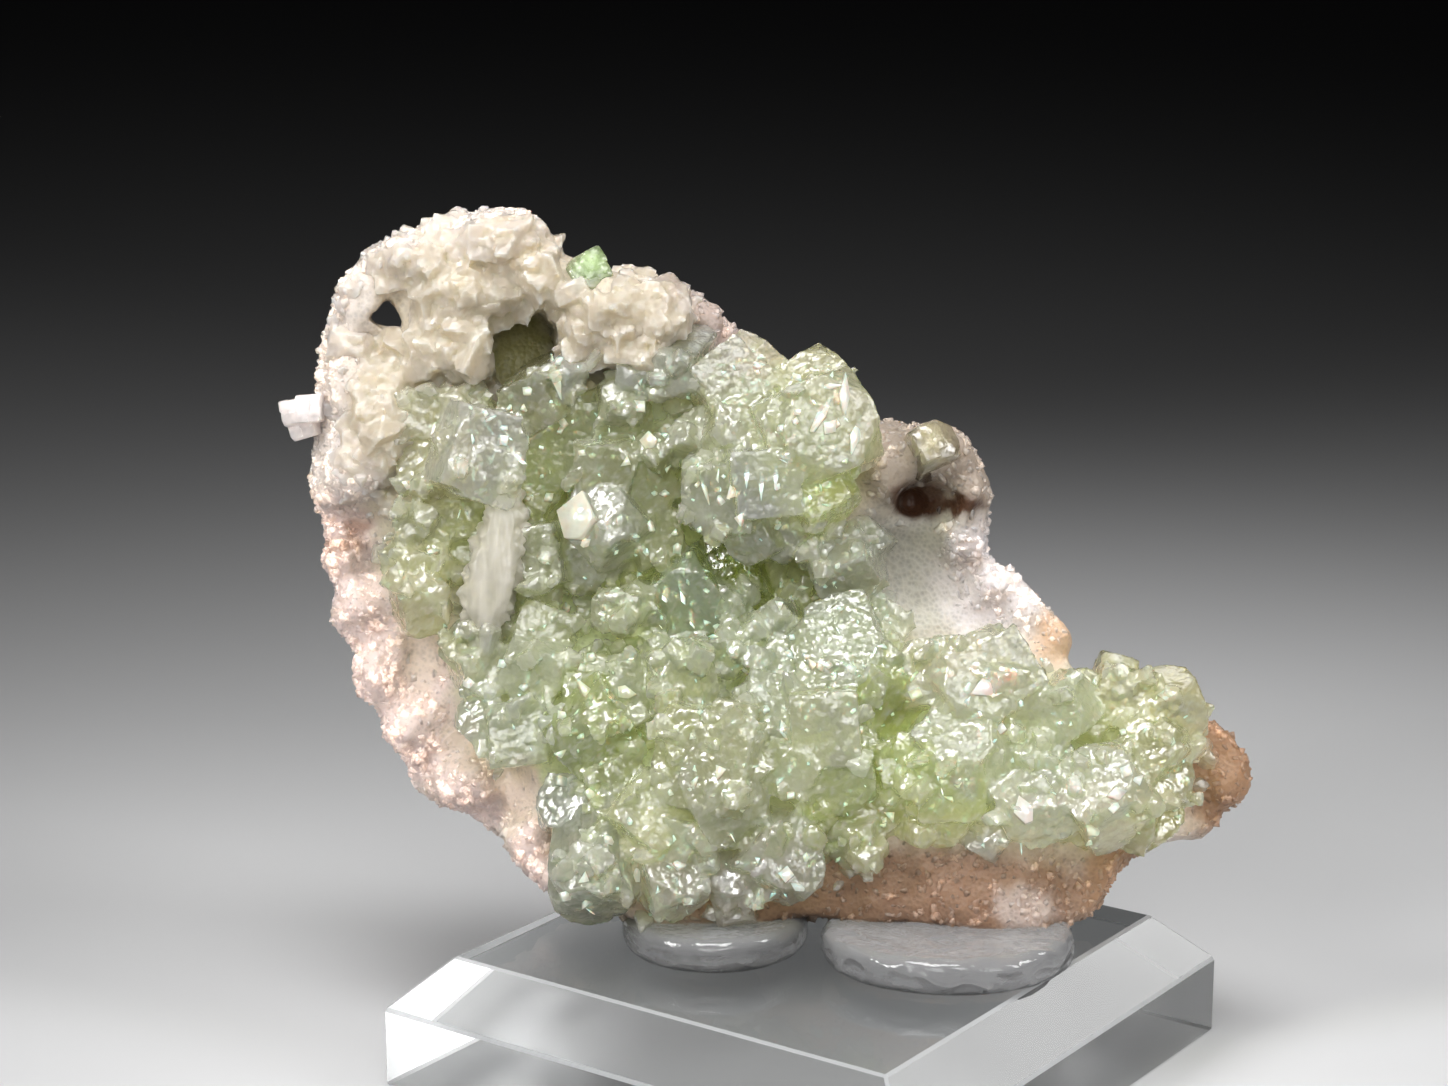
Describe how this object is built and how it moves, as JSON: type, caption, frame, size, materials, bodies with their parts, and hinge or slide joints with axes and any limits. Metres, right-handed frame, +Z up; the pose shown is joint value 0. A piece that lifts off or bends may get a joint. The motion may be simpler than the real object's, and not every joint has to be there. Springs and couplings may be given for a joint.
{
  "type": "green apophyllite specimen on a display base",
  "caption": "Cluster of pale green glassy crystals lining a leaning plate of cream and pink rock, held by clear glue pads on a clear bevelled square block.",
  "frame": {"origin": "middle of the display base's underside", "axes": "+Z up, the crystals face -Y, +X runs along the stone to its orange tip"},
  "size_m": [0.0969, 0.0836, 0.084],
  "materials": {
    "clear_acrylic": "polished clear acrylic",
    "clear_glue": "clear set glue, slightly cloudy",
    "host_rock": "granular, cream to pink and brown",
    "green_apophyllite": "vitreous, pale green, clear to milky",
    "pearly_stilbite": "pearly cream",
    "lilac_tablets": "translucent pale lilac"
  },
  "bodies": {
    "root": {"display_base": "clear_acrylic", "glue_pad_left": "clear_glue", "glue_pad_right": "clear_glue", "matrix": "host_rock", "apophyllite_druse": "green_apophyllite", "apophyllite_crest": "green_apophyllite", "apophyllite_lobe": "green_apophyllite", "stilbite_blade": "pearly_stilbite", "lilac_tablets": "lilac_tablets"}
  },
  "joints": []
}
